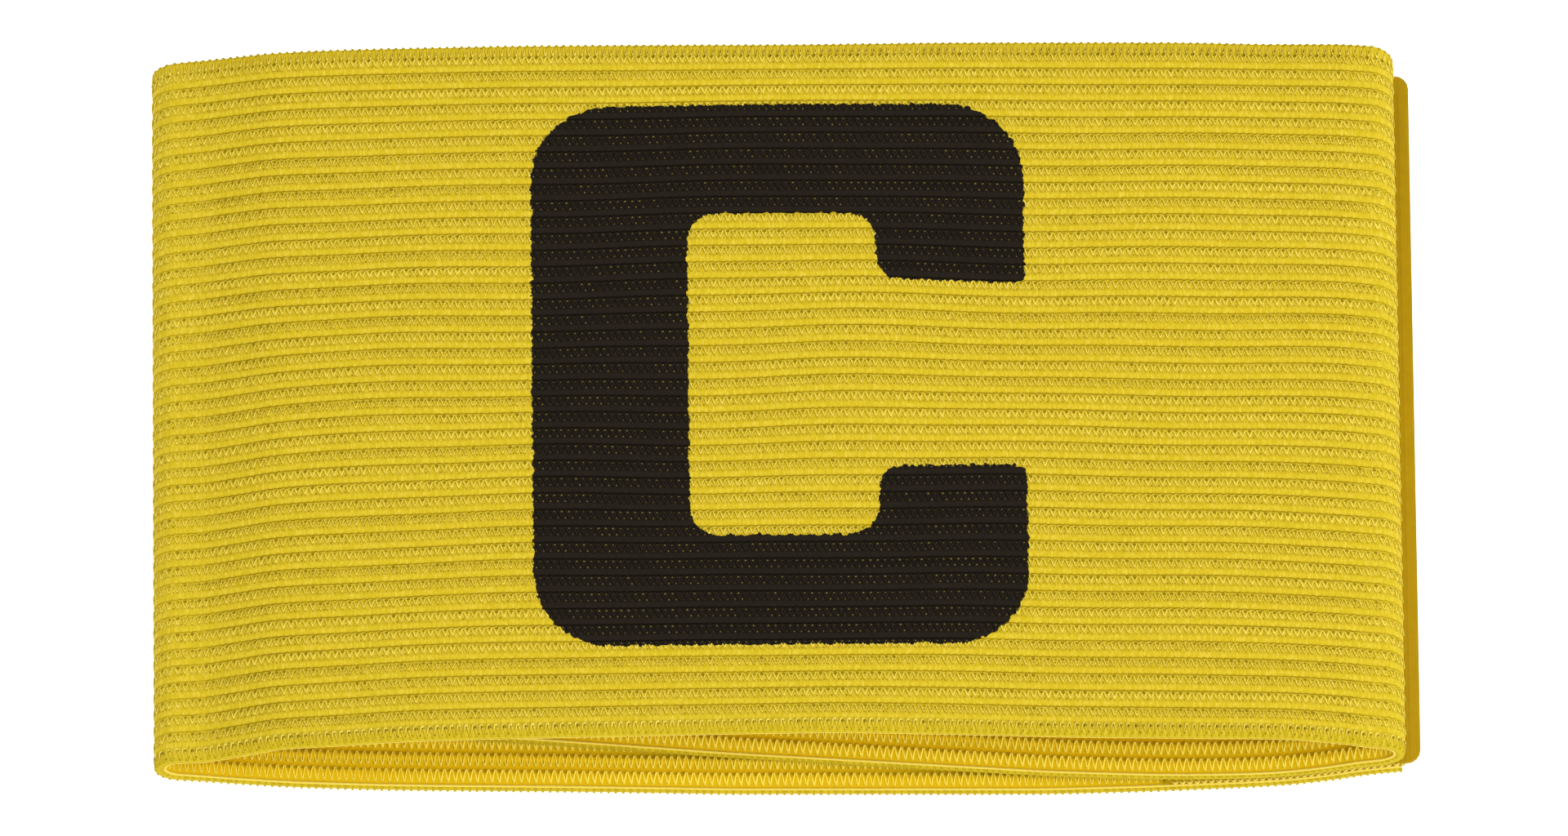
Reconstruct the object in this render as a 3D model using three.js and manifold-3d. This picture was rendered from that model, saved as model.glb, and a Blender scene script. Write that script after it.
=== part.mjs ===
// Captain armband: a strap of ribbed knitted elastic, wrapped into a flattened loop that lies on
// its back and is closed by hook tape between its two laps. Millimetres.
// X runs along the flattened loop, Y across the strap, Z up through the front panel.
// The origin is in the middle of the loop, on the face that it rests on.

import * as THREE from 'three';
import { mergeVertices } from 'three/addons/utils/BufferGeometryUtils.js';
import Module from 'manifold-3d';

const wasm = await Module();
wasm.setup();

// Strap
const BAND_WIDTH = 75;
const WALL = 1.15;
const EDGE_ROUNDING = 0.35;
const SELVEDGE_WIDTH = 1.2;
const RIB_COUNT = 41;
const RIB_DEPTH = 0.3;
const RIB_STEP_SHARE = 0.18; // of a rib's width, taken by its steep side

// Loop
const LOOP_LENGTH = 122.8; // outside of one fold to the outside of the other
const FOLD_RADIUS = 2.3; // outside of a fold
const LEFT_FOLD_HEIGHT = 6.6;
const RIGHT_FOLD_HEIGHT = 10.1;
const FOLD_LEAN = 0.55; // how much higher the folds are at the far edge than in the middle
const FRONT_RISE = 5.6; // most that the front stands above the folds

// Laps of the back
const INNER_LAP_LENGTH = 91.5; // from the right fold to the free end inside
const INNER_LAP_SHIFT = 4.6; // how far the free end has slid across
const LAP_TURN = 16; // from the right fold to where the inner lap starts to slide across
const LAP_TURN_BLEND = 8; // to each side of that place
const OUTER_LAP_INSET = 0.2; // from the right fold back to the strap's cut end
const REST_FADE = 8; // ribs flatten over this length beside the resting stretch

// Hook tape
const TAPE_LENGTH = 25.8;
const TAPE_WIDTH = 74.2;
const TAPE_THICKNESS = 0.45;
const TAPE_OVERHANG = 1.8; // past the strap's cut end
const TAPE_CORNER = 1.4; // snipped off each outer corner
const CLEARANCE = 0.15; // between the tape and each lap

// Printed letter
const LETTER_WIDTH = 48.6;
const LETTER_HEIGHT = 58.6;
const LETTER_RAISED = 1.3; // above the middle of the front
const STEM_WIDTH = 15.4;
const BAR_HEIGHT = 12;
const TERMINAL_WIDTH = 14.6;
const TERMINAL_REACH = 19.3;
const OUTER_CORNER = 7.8;
const COUNTER_CORNER = 3;
const TERMINAL_CORNER = 2.3;
const TIP_CORNER = 1;
const INK_GAP = 0.12;
const INK_THICKNESS = 0.2;

// Number of facets
const FOLD_STEPS = 5;
const FRONT_STEPS = 14;
const OUTER_LAP_STEPS = 16;
const INNER_LAP_STEPS = 10;
const INNER_FACE_ROWS = 7;
const TAPE_ROWS = 5;
const INK_STEPS = 12;
const INK_ROWS = 5;
const CORNER_STEPS = 6;

// Heights of the front above the folds, as shares of FRONT_RISE. Each row is a place along the
// loop, from -1 at the left fold to 1 at the right, and each column a line across the strap.
const FRONT_SECTIONS = [
  { along: -1, near: 0, middle: 0.04, far: 0.08 },
  { along: -0.93, near: 0.03, middle: 0.13, far: 0.22 },
  { along: -0.87, near: 0.25, middle: 0.32, far: 0.37 },
  { along: -0.8, near: 0.54, middle: 0.54, far: 0.53 },
  { along: -0.7, near: 0.68, middle: 0.66, far: 0.62 },
  { along: -0.58, near: 0.83, middle: 0.76, far: 0.665 },
  { along: -0.4, near: 0.9, middle: 0.81, far: 0.695 },
  { along: -0.15, near: 0.96, middle: 0.83, far: 0.665 },
  { along: 0.05, near: 1, middle: 0.83, far: 0.625 },
  { along: 0.25, near: 0.87, middle: 0.76, far: 0.63 },
  { along: 0.45, near: 0.69, middle: 0.65, far: 0.585 },
  { along: 0.65, near: 0.57, middle: 0.56, far: 0.52 },
  { along: 0.8, near: 0.48, middle: 0.46, far: 0.41 },
  { along: 0.9, near: 0.25, middle: 0.33, far: 0.38 },
  { along: 0.96, near: 0.04, middle: 0.17, far: 0.28 },
  { along: 1, near: 0, middle: 0.08, far: 0.17 },
];

// Heights of the back's underside, as shares of its height at the folds
const BACK_SECTIONS = [
  { along: -1, near: 1, middle: 1, far: 1 },
  { along: -0.94, near: 0.87, middle: 0.82, far: 0.82 },
  { along: -0.86, near: 0.63, middle: 0.6, far: 0.6 },
  { along: -0.76, near: 0.41, middle: 0.44, far: 0.44 },
  { along: -0.6, near: 0.24, middle: 0.28, far: 0.28 },
  { along: -0.34, near: 0.14, middle: 0.1, far: 0.1 },
  { along: -0.2, near: 0.07, middle: 0, far: 0 },
  { along: -0.05, near: 0, middle: 0, far: 0 },
  { along: 0.4, near: 0, middle: 0, far: 0 },
  { along: 0.54, near: 0.09, middle: 0.03, far: 0.03 },
  { along: 0.7, near: 0.26, middle: 0.17, far: 0.17 },
  { along: 0.8, near: 0.4, middle: 0.34, far: 0.34 },
  { along: 0.88, near: 0.62, middle: 0.56, far: 0.56 },
  { along: 0.94, near: 0.86, middle: 0.8, far: 0.8 },
  { along: 1, near: 1, middle: 1, far: 1 },
];
const REST_FROM = -0.2;
const REST_TO = 0.4;
const MIDDLE_SHARE = 0.25; // of half the width, over which the middle column holds

// Sizes worked out from the ones above
const HALF_LENGTH = LOOP_LENGTH / 2;
const HALF_WIDTH = BAND_WIDTH / 2;
const FOLD_START = HALF_LENGTH - FOLD_RADIUS;
const LAP_GAP = TAPE_THICKNESS + 2 * CLEARANCE;
const INNER_END = HALF_LENGTH - INNER_LAP_LENGTH;
const OUTER_END = HALF_LENGTH - OUTER_LAP_INSET;
const TURN_START = FOLD_START - LAP_TURN;

const { clamp, lerp, smoothstep } = THREE.MathUtils;

// Slope of a smooth curve through a table's column that never overshoots its rows
function columnSlope(rows, index, column) {
  if (index === 0 || index === rows.length - 1) return 0;
  const before = rows[index][column] - rows[index - 1][column];
  const after = rows[index + 1][column] - rows[index][column];
  if (before * after <= 0) return 0;
  const widthBefore = rows[index].along - rows[index - 1].along;
  const widthAfter = rows[index + 1].along - rows[index].along;
  return 2 / (widthBefore / before + widthAfter / after);
}

function columnValue(rows, along, column) {
  const place = clamp(along, rows[0].along, rows[rows.length - 1].along);
  let index = 0;
  while (index < rows.length - 2 && place > rows[index + 1].along) index += 1;
  const [low, high] = [rows[index], rows[index + 1]];
  const width = high.along - low.along;
  const u = (place - low.along) / width;
  const rise = high[column] - low[column];
  const startSlope = columnSlope(rows, index, column) * width;
  const endSlope = columnSlope(rows, index + 1, column) * width;
  const bend = startSlope * (1 - u) - endSlope * u;
  return low[column] + rise * u * u * (3 - 2 * u) + u * (1 - u) * bend;
}

// Value of a table of sections at a place along the loop and across the strap (-1 near, 1 far)
function sectionValue(rows, along, across) {
  const middle = columnValue(rows, along, 'middle');
  const edge = columnValue(rows, along, across < 0 ? 'near' : 'far');
  const share = clamp((Math.abs(across) - MIDDLE_SHARE) / (1 - MIDDLE_SHARE), 0, 1);
  return lerp(middle, edge, share * share);
}

// Height of the folds' middles, carried over the length between them
function foldHeight(along, across) {
  return lerp(LEFT_FOLD_HEIGHT, RIGHT_FOLD_HEIGHT, (along + 1) / 2) + FOLD_LEAN * across;
}

function frontHeight(x, across) {
  const along = x / HALF_LENGTH;
  const rise = FRONT_RISE * sectionValue(FRONT_SECTIONS, along, across);
  return foldHeight(along, across) + FOLD_RADIUS + rise;
}

function backHeight(x, across) {
  const along = x / HALF_LENGTH;
  const lapsAbove = (LAP_GAP + WALL) * ((along + 1) / 2);
  const atFolds = foldHeight(along, across) - FOLD_RADIUS - lapsAbove;
  return atFolds * sectionValue(BACK_SECTIONS, along, across);
}

// Underside of the inner lap, which lies on the outer one with the tape between them
function innerLapHeight(x, across) {
  const step = 0.5;
  const slope = (backHeight(x + step, across) - backHeight(x - step, across)) / (2 * step);
  return backHeight(x, across) + (WALL + LAP_GAP) * Math.hypot(1, slope);
}

function foldPoint(side, angle, bottom, across) {
  const x = side * (FOLD_START + FOLD_RADIUS * Math.cos(angle));
  const middle = foldHeight(side, across);
  const edge = angle > 0 ? frontHeight(x, across) : bottom(x, across);
  return { x, z: middle + (edge - middle) * Math.abs(Math.sin(angle)) };
}

// The strap's outer face from its inner end to its outer end, in five stretches
const STRETCHES = {
  innerLap: {
    steps: INNER_LAP_STEPS,
    place: (u) => lerp(INNER_END, FOLD_START, Math.sin((u * Math.PI) / 2)),
    point: (x, across) => ({ x, z: innerLapHeight(x, across) }),
  },
  rightFold: {
    steps: FOLD_STEPS,
    place: (u) => lerp(-Math.PI / 2, Math.PI / 2, u),
    point: (angle, across) => foldPoint(1, angle, innerLapHeight, across),
  },
  front: {
    steps: FRONT_STEPS,
    place: (u) => FOLD_START * Math.cos(u * Math.PI),
    point: (x, across) => ({ x, z: frontHeight(x, across) }),
  },
  leftFold: {
    steps: FOLD_STEPS,
    place: (u) => lerp(Math.PI / 2, -Math.PI / 2, u),
    point: (angle, across) => foldPoint(-1, angle, backHeight, across),
  },
  outerLap: {
    steps: OUTER_LAP_STEPS,
    place: (u) => lerp(-FOLD_START, OUTER_END, (1 - Math.cos(u * Math.PI)) / 2),
    point: (x, across) => ({ x, z: backHeight(x, across) }),
  },
};

// How far the strap has slid across at a place on it: the inner lap turns softly out of line
function slide(stretch, x) {
  const past = TURN_START - x;
  if (stretch !== 'innerLap' || past < -LAP_TURN_BLEND) return 0;
  const soft = (past + LAP_TURN_BLEND) ** 2 / (4 * LAP_TURN_BLEND);
  const turned = past < LAP_TURN_BLEND ? soft : past;
  return (INNER_LAP_SHIFT * turned) / (TURN_START - INNER_END);
}

// Ribs are pressed flat where the strap rests
function ribShare(stretch, x) {
  if (stretch !== 'outerLap') return 1;
  const from = REST_FROM * HALF_LENGTH;
  const to = REST_TO * HALF_LENGTH;
  return 1 - smoothstep(x, from - REST_FADE, from) + smoothstep(x, to, to + REST_FADE);
}

// A point of the strap, or of what lies along it, at a depth below its outer face
function strapPoint(station, section) {
  const { stretch, place, forward } = station;
  const across = section.across / HALF_WIDTH;
  const { point } = STRETCHES[stretch];
  const nudge = 1e-3 * forward;
  const here = point(place, across);
  const before = point(place - nudge, across);
  const after = point(place + nudge, across);
  const travel = new THREE.Vector2(after.x - before.x, after.z - before.z).normalize();
  const depth = section.depth + (section.ribDepth ?? 0) * ribShare(stretch, here.x);
  return new THREE.Vector3(
    here.x - travel.y * depth,
    section.across + slide(stretch, here.x),
    here.z + travel.x * depth,
  );
}

function stationAt(stretch, place) {
  const { place: placeAt } = STRETCHES[stretch];
  return { stretch, place, forward: Math.sign(placeAt(1) - placeAt(0)) };
}

function bandStations() {
  return Object.entries(STRETCHES).flatMap(([stretch, { steps, place }]) => {
    const first = stretch === 'innerLap' ? 0 : 1;
    const counts = Array.from({ length: steps + 1 - first }, (_, index) => index + first);
    return counts.map((count) => stationAt(stretch, place(count / steps)));
  });
}

function spacedStations(stretch, from, to, steps) {
  const counts = Array.from({ length: steps + 1 }, (_, index) => index);
  return counts.map((count) => stationAt(stretch, lerp(from, to, count / steps)));
}

// Outline of the strap: its ribbed face and its plain one, both from near to far
function bandSection() {
  const ribWidth = (BAND_WIDTH - 2 * SELVEDGE_WIDTH) / RIB_COUNT;
  const ribStart = SELVEDGE_WIDTH - HALF_WIDTH;
  const flat = HALF_WIDTH - EDGE_ROUNDING;
  const face = [{ across: -HALF_WIDTH, depth: EDGE_ROUNDING }, { across: -flat, depth: 0 }];
  for (let rib = 0; rib < RIB_COUNT; rib += 1) {
    const groove = ribStart + rib * ribWidth;
    face.push({ across: groove, depth: 0, ribDepth: RIB_DEPTH });
    face.push({ across: groove + RIB_STEP_SHARE * ribWidth, depth: 0 });
  }
  face.push({ across: -ribStart, depth: 0, ribDepth: RIB_DEPTH });
  face.push({ across: flat, depth: 0 }, { across: HALF_WIDTH, depth: EDGE_ROUNDING });
  const back = [
    { across: -HALF_WIDTH, depth: WALL - EDGE_ROUNDING },
    ...rowAcross(flat, WALL, INNER_FACE_ROWS),
    { across: HALF_WIDTH, depth: WALL - EDGE_ROUNDING },
  ];
  return { face, back };
}

function rowAcross(halfWidth, depth, rows) {
  const shares = Array.from({ length: rows }, (_, row) => row / (rows - 1));
  return shares.map((share) => ({ across: lerp(-halfWidth, halfWidth, share), depth }));
}

// Outline of a flat layer along the strap
function layerSection(halfWidth, top, bottom, rows) {
  return { face: rowAcross(halfWidth, top, rows), back: rowAcross(halfWidth, bottom, rows) };
}

// A closed solid swept through the stations, with one section outline at each
function loft(stations, sectionAt) {
  const rings = stations.map((station, index) => {
    const { face, back } = sectionAt(index);
    return [...face, ...back.toReversed()].map((section) => strapPoint(station, section));
  });
  const size = rings[0].length;
  const indices = [];
  for (let ring = 0; ring < rings.length - 1; ring += 1) {
    for (let side = 0; side < size; side += 1) {
      const next = (side + 1) % size;
      const [a, b] = [ring * size + side, ring * size + next];
      indices.push(a, b, a + size, b, b + size, a + size);
    }
  }
  const last = (rings.length - 1) * size;
  endTriangles(sectionAt(0)).forEach(([a, b, c]) => {
    indices.push(a, c, b, last + a, last + b, last + c);
  });
  return closedGeometry(rings.flat().flatMap((point) => point.toArray()), indices);
}

// Triangles of a cut end, zipped between the outline's face and its back
function endTriangles({ face, back }) {
  const size = face.length + back.length;
  const triangles = [];
  let [upper, lower] = [0, 0];
  while (upper < face.length - 1 || lower < back.length - 1) {
    const upperNext = face[upper + 1]?.across ?? Infinity;
    const lowerNext = back[lower + 1]?.across ?? Infinity;
    const opposite = size - 1 - lower;
    if (upperNext <= lowerNext) {
      triangles.push([upper, upper + 1, opposite]);
      upper += 1;
    } else {
      triangles.push([upper, opposite - 1, opposite]);
      lower += 1;
    }
  }
  return triangles;
}

function closedGeometry(positions, indices) {
  const geometry = new THREE.BufferGeometry();
  geometry.setAttribute('position', new THREE.Float32BufferAttribute(positions, 3));
  geometry.setIndex(indices);
  return geometry;
}

function elasticBand() {
  const section = bandSection();
  return loft(bandStations(), () => section);
}

// Places of the tape, which bends where the lap below it does
function tapeStations() {
  const end = OUTER_END + TAPE_OVERHANG;
  const [from, to] = [end - TAPE_LENGTH, end - TAPE_CORNER];
  const between = lapPlaces().filter((x) => x > from && x < to);
  return [from, ...between, to, end].map((x) => stationAt('outerLap', x));
}

function lapPlaces() {
  const { steps, place } = STRETCHES.outerLap;
  return Array.from({ length: steps + 1 }, (_, index) => place(index / steps));
}

function hookTape() {
  const stations = tapeStations();
  const top = WALL + CLEARANCE;
  const full = layerSection(TAPE_WIDTH / 2, top, top + TAPE_THICKNESS, TAPE_ROWS);
  const snipped = layerSection(TAPE_WIDTH / 2 - TAPE_CORNER, top, top + TAPE_THICKNESS, TAPE_ROWS);
  return loft(stations, (index) => (index === stations.length - 1 ? snipped : full));
}

// Outline of a block letter C, its corners listed anticlockwise from the upper right
function letterShape() {
  const right = LETTER_WIDTH / 2;
  const top = LETTER_HEIGHT / 2;
  const stem = STEM_WIDTH - right;
  const bar = top - BAR_HEIGHT;
  const terminal = right - TERMINAL_WIDTH;
  const reach = top - TERMINAL_REACH;
  const corners = [
    { x: right, y: top, radius: OUTER_CORNER },
    { x: -right, y: top, radius: OUTER_CORNER },
    { x: -right, y: -top, radius: OUTER_CORNER },
    { x: right, y: -top, radius: OUTER_CORNER },
    { x: right, y: -reach, radius: TIP_CORNER },
    { x: terminal, y: -reach, radius: TERMINAL_CORNER },
    { x: terminal, y: -bar, radius: COUNTER_CORNER },
    { x: stem, y: -bar, radius: COUNTER_CORNER },
    { x: stem, y: bar, radius: COUNTER_CORNER },
    { x: terminal, y: bar, radius: COUNTER_CORNER },
    { x: terminal, y: reach, radius: TERMINAL_CORNER },
    { x: right, y: reach, radius: TIP_CORNER },
  ];
  const shape = new THREE.Shape();
  corners.forEach(({ x, y, radius }, index) => {
    const corner = new THREE.Vector2(x, y);
    const before = corners[(index + corners.length - 1) % corners.length];
    const after = corners[(index + 1) % corners.length];
    const towards = (other) =>
      new THREE.Vector2(other.x, other.y).sub(corner).setLength(radius).add(corner);
    const [start, end] = [towards(before), towards(after)];
    if (index === 0) shape.moveTo(start.x, start.y);
    else shape.lineTo(start.x, start.y);
    const centre = start.clone().add(end).sub(corner);
    const from = Math.atan2(start.y - centre.y, start.x - centre.x);
    const to = Math.atan2(end.y - centre.y, end.x - centre.x);
    const turn = Math.sin(to - from) < 0;
    shape.absarc(centre.x, centre.y, radius, from, to, turn);
  });
  return shape;
}

function toManifold(geometry) {
  const bare = geometry.clone();
  bare.deleteAttribute('normal');
  bare.deleteAttribute('uv');
  const merged = mergeVertices(bare);
  return new wasm.Manifold(
    new wasm.Mesh({
      numProp: 3,
      vertProperties: new Float32Array(merged.attributes.position.array),
      triVerts: new Uint32Array(merged.index.array),
    }),
  );
}

// The ink is the part of a thin skin over the front that lies inside the letter's outline
function letterPrint() {
  const reach = LETTER_WIDTH / 2 + LETTER_RAISED;
  const stations = spacedStations('front', reach, -reach, INK_STEPS);
  const section = layerSection(HALF_WIDTH, -INK_GAP - INK_THICKNESS, -INK_GAP, INK_ROWS);
  const skin = toManifold(loft(stations, () => section));
  const depth = FRONT_RISE + FOLD_RADIUS + RIGHT_FOLD_HEIGHT;
  const letter = new THREE.ExtrudeGeometry(letterShape(), {
    depth,
    bevelEnabled: false,
    curveSegments: CORNER_STEPS,
  });
  letter.translate(0, LETTER_RAISED, RIGHT_FOLD_HEIGHT);
  const { vertProperties, triVerts } = skin.intersect(toManifold(letter)).getMesh();
  return closedGeometry(Array.from(vertProperties), Array.from(triVerts));
}

function fabric(color, roughness) {
  return new THREE.MeshStandardMaterial({ color, roughness, metalness: 0 });
}

function piece(name, geometry, material) {
  const mesh = new THREE.Mesh(geometry, material);
  mesh.name = name;
  return mesh;
}

const armband = new THREE.Group();
armband.add(piece('elastic_band', elasticBand(), fabric(0xdcc23a, 0.85)));
armband.add(piece('hook_tape', hookTape(), fabric(0xb8930f, 0.7)));
armband.add(piece('letter_print', letterPrint(), fabric(0x27201a, 0.8)));

export default armband;
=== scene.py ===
import math

import bpy
import numpy as np
from mathutils import Matrix, Vector


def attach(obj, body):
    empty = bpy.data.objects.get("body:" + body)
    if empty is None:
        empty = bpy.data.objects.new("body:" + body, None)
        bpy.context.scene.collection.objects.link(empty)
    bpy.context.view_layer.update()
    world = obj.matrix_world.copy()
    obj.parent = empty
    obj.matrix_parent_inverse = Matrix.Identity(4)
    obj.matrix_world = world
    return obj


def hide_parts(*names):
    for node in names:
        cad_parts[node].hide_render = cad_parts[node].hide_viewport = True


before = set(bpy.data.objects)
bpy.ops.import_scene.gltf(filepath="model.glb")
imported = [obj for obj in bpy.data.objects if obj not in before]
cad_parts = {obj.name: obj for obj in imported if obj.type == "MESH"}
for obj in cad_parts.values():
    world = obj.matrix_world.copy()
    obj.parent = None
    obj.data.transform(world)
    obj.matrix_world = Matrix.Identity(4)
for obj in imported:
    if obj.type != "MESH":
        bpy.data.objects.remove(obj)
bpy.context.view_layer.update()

MM = 0.001

# Strap
BAND_WIDTH = 75 * MM
WALL = 1.15 * MM
SELVEDGE_WIDTH = 1.2 * MM
RIB_COUNT = 41
STITCH_PITCH = 0.72 * MM

# Loop
LOOP_LENGTH = 122.8 * MM
FOLD_RADIUS = 2.3 * MM
LEFT_FOLD_HEIGHT = 6.6 * MM
RIGHT_FOLD_HEIGHT = 10.1 * MM
FOLD_LEAN = 0.55 * MM
FRONT_RISE = 5.6 * MM

# Laps of the back
INNER_LAP_LENGTH = 91.5 * MM
INNER_LAP_SHIFT = 4.6 * MM
LAP_TURN = 16 * MM
LAP_TURN_BLEND = 8 * MM
OUTER_LAP_INSET = 0.2 * MM

# Hook tape
TAPE_LENGTH = 25.8 * MM
TAPE_WIDTH = 74.2 * MM
TAPE_THICKNESS = 0.45 * MM
TAPE_OVERHANG = 1.8 * MM
TAPE_CORNER = 1.4 * MM
CLEARANCE = 0.15 * MM

# Printed letter
LETTER_WIDTH = 48.6 * MM
LETTER_HEIGHT = 58.6 * MM
LETTER_RAISED = 1.3 * MM
STEM_WIDTH = 15.4 * MM
BAR_HEIGHT = 12 * MM
TERMINAL_WIDTH = 14.6 * MM
TERMINAL_REACH = 19.3 * MM
OUTER_CORNER = 7.8 * MM
COUNTER_CORNER = 3 * MM
TERMINAL_CORNER = 2.3 * MM
TIP_CORNER = 1 * MM

# Heights of the front above the folds, as shares of FRONT_RISE, at places along the loop from
# -1 at the left fold to 1 at the right, on three lines across the strap
SECTION_COLUMNS = ("along", "near", "middle", "far")
FRONT_SECTIONS = (
    (-1, 0, 0.04, 0.08),
    (-0.93, 0.03, 0.13, 0.22),
    (-0.87, 0.25, 0.32, 0.37),
    (-0.8, 0.54, 0.54, 0.53),
    (-0.7, 0.68, 0.66, 0.62),
    (-0.58, 0.83, 0.76, 0.665),
    (-0.4, 0.9, 0.81, 0.695),
    (-0.15, 0.96, 0.83, 0.665),
    (0.05, 1, 0.83, 0.625),
    (0.25, 0.87, 0.76, 0.63),
    (0.45, 0.69, 0.65, 0.585),
    (0.65, 0.57, 0.56, 0.52),
    (0.8, 0.48, 0.46, 0.41),
    (0.9, 0.25, 0.33, 0.38),
    (0.96, 0.04, 0.17, 0.28),
    (1, 0, 0.08, 0.17),
)
# Heights of the back's underside, as shares of its height at the folds
BACK_SECTIONS = (
    (-1, 1, 1, 1),
    (-0.94, 0.87, 0.82, 0.82),
    (-0.86, 0.63, 0.6, 0.6),
    (-0.76, 0.41, 0.44, 0.44),
    (-0.6, 0.24, 0.28, 0.28),
    (-0.34, 0.14, 0.1, 0.1),
    (-0.2, 0.07, 0, 0),
    (-0.05, 0, 0, 0),
    (0.4, 0, 0, 0),
    (0.54, 0.09, 0.03, 0.03),
    (0.7, 0.26, 0.17, 0.17),
    (0.8, 0.4, 0.34, 0.34),
    (0.88, 0.62, 0.56, 0.56),
    (0.94, 0.86, 0.8, 0.8),
    (1, 1, 1, 1),
)
MIDDLE_SHARE = 0.25  # of half the width, over which the middle column holds

# Wear: how far the ribs wander across, the front's ripples, and how much of the ribs' relief
# stretching takes away round a fold, out to a reach from the fold's middle
RIB_WANDER = 0.15 * MM
FRONT_RIPPLE = 0.07 * MM
RIPPLE_FADE = 15 * MM
FOLD_FLATTENING = 0.5
FOLD_REACH = 7 * MM
FOLD_FADE = 4 * MM
# Lengths of these waves along the strap and across it, each divided by two pi
SLOW_WAVE = (8.3 * MM, 13 * MM)
QUICK_WAVE = (3.7 * MM, 7.9 * MM)
RIPPLE_WAVE = (4.9 * MM, 17 * MM)
SLOW_BEND = 1.7
RIPPLE_BEND = 1.3
QUICK_WANDER = 0.45  # share of the quick wave in the ribs' wander
QUICK_RIPPLE = 0.5  # and in the ripples

# Sizes worked out from the ones above
HALF_LENGTH = LOOP_LENGTH / 2
HALF_WIDTH = BAND_WIDTH / 2
FOLD_START = HALF_LENGTH - FOLD_RADIUS
FOLD_END = FOLD_START + math.pi * FOLD_RADIUS  # along the strap, past either fold
LAP_GAP = TAPE_THICKNESS + 2 * CLEARANCE
INNER_END = HALF_LENGTH - INNER_LAP_LENGTH
OUTER_END = HALF_LENGTH - OUTER_LAP_INSET
TAPE_END = OUTER_END + TAPE_OVERHANG
TURN_START = FOLD_START - LAP_TURN
RIB_PITCH = (BAND_WIDTH - 2 * SELVEDGE_WIDTH) / RIB_COUNT
FIRST_GROOVE = SELVEDGE_WIDTH - HALF_WIDTH


# The strap's path


def column_curve(rows, column):
    """A smooth curve through a table's column that never overshoots its rows."""
    place = np.array([row[0] for row in rows])
    value = np.array([row[SECTION_COLUMNS.index(column)] for row in rows])
    width, rise = np.diff(place), np.diff(value)
    slope = np.zeros(len(place))
    turning = rise[:-1] * rise[1:] <= 0
    before, after = np.where(turning, 1, rise[:-1]), np.where(turning, 1, rise[1:])
    slope[1:-1] = np.where(turning, 0, 2 / (width[:-1] / before + width[1:] / after))

    def curve(along):
        along = np.clip(along, place[0], place[-1])
        low = np.clip(np.searchsorted(place, along, side="right") - 1, 0, len(width) - 1)
        u = (along - place[low]) / width[low]
        bend = slope[low] * width[low] * (1 - u) - slope[low + 1] * width[low] * u
        return value[low] + rise[low] * u * u * (3 - 2 * u) + u * (1 - u) * bend

    return curve


def section_surface(rows):
    """A table's value at a place along the loop and across the strap (-1 near, 1 far)."""
    near, middle, far = (column_curve(rows, column) for column in SECTION_COLUMNS[1:])

    def surface(along, across):
        share = np.clip((np.abs(across) - MIDDLE_SHARE) / (1 - MIDDLE_SHARE), 0, 1)
        edge = np.where(across < 0, near(along), far(along))
        return middle(along) + (edge - middle(along)) * share * share

    return surface


front_share = section_surface(FRONT_SECTIONS)
back_share = section_surface(BACK_SECTIONS)


def blend(low, high, share):
    return low + (high - low) * share


def fold_height(along, across):
    """Height of the folds' middles, carried over the length between them."""
    return blend(LEFT_FOLD_HEIGHT, RIGHT_FOLD_HEIGHT, (along + 1) / 2) + FOLD_LEAN * across


def front_height(x, across):
    along = x / HALF_LENGTH
    rise = FRONT_RISE * front_share(along, across)
    return fold_height(along, across) + FOLD_RADIUS + rise


def back_height(x, across):
    along = x / HALF_LENGTH
    laps_above = (LAP_GAP + WALL) * (along + 1) / 2
    at_folds = fold_height(along, across) - FOLD_RADIUS - laps_above
    return at_folds * back_share(along, across)


def inner_lap_height(x, across):
    step = 0.5 * MM
    slope = (back_height(x + step, across) - back_height(x - step, across)) / (2 * step)
    return back_height(x, across) + (WALL + LAP_GAP) * np.hypot(1, slope)


def fold_point(side, angle, bottom, across):
    x = side * (FOLD_START + FOLD_RADIUS * np.cos(angle))
    middle = fold_height(side, across)
    edge = np.where(angle > 0, front_height(x, across), bottom(x, across))
    return x, middle + (edge - middle) * np.abs(np.sin(angle))


def lap_slide(x):
    """How far the inner lap has slid across: it turns softly out of line."""
    past = TURN_START - x
    soft = np.maximum(past + LAP_TURN_BLEND, 0) ** 2 / (4 * LAP_TURN_BLEND)
    turned = np.where(past < LAP_TURN_BLEND, soft, past)
    return INNER_LAP_SHIFT * turned / (TURN_START - INNER_END)


def spaced(start, end, step):
    """Places from start up to but without end, at most a step apart."""
    return np.linspace(start, end, math.ceil(abs(end - start) / step), endpoint=False)


def path_places(step):
    """Stretches of the outer face from the inner end to the outer end: name and places."""
    quarter = math.pi / 2
    return (
        ("inner_lap", spaced(INNER_END, FOLD_START, step)),
        ("right_fold", spaced(-quarter, quarter, step / FOLD_RADIUS)),
        ("front", spaced(FOLD_START, -FOLD_START, step)),
        ("left_fold", spaced(quarter, -quarter, step / FOLD_RADIUS)),
        ("outer_lap", np.append(spaced(-FOLD_START, TAPE_END, step), TAPE_END)),
    )


def outer_face(stretch, place, across):
    """X, Z and the slide across of the strap's outer face."""
    slide = 0 * place
    if stretch == "right_fold":
        x, z = fold_point(1, place, inner_lap_height, across)
    elif stretch == "left_fold":
        x, z = fold_point(-1, place, back_height, across)
    elif stretch == "inner_lap":
        x, z = place, inner_lap_height(place, across)
        slide = lap_slide(place)
    elif stretch == "front":
        x, z = place, front_height(place, across)
    else:
        x, z = place, back_height(place, across)
    return np.stack(np.broadcast_arrays(x, z, slide), axis=-1)


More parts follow.
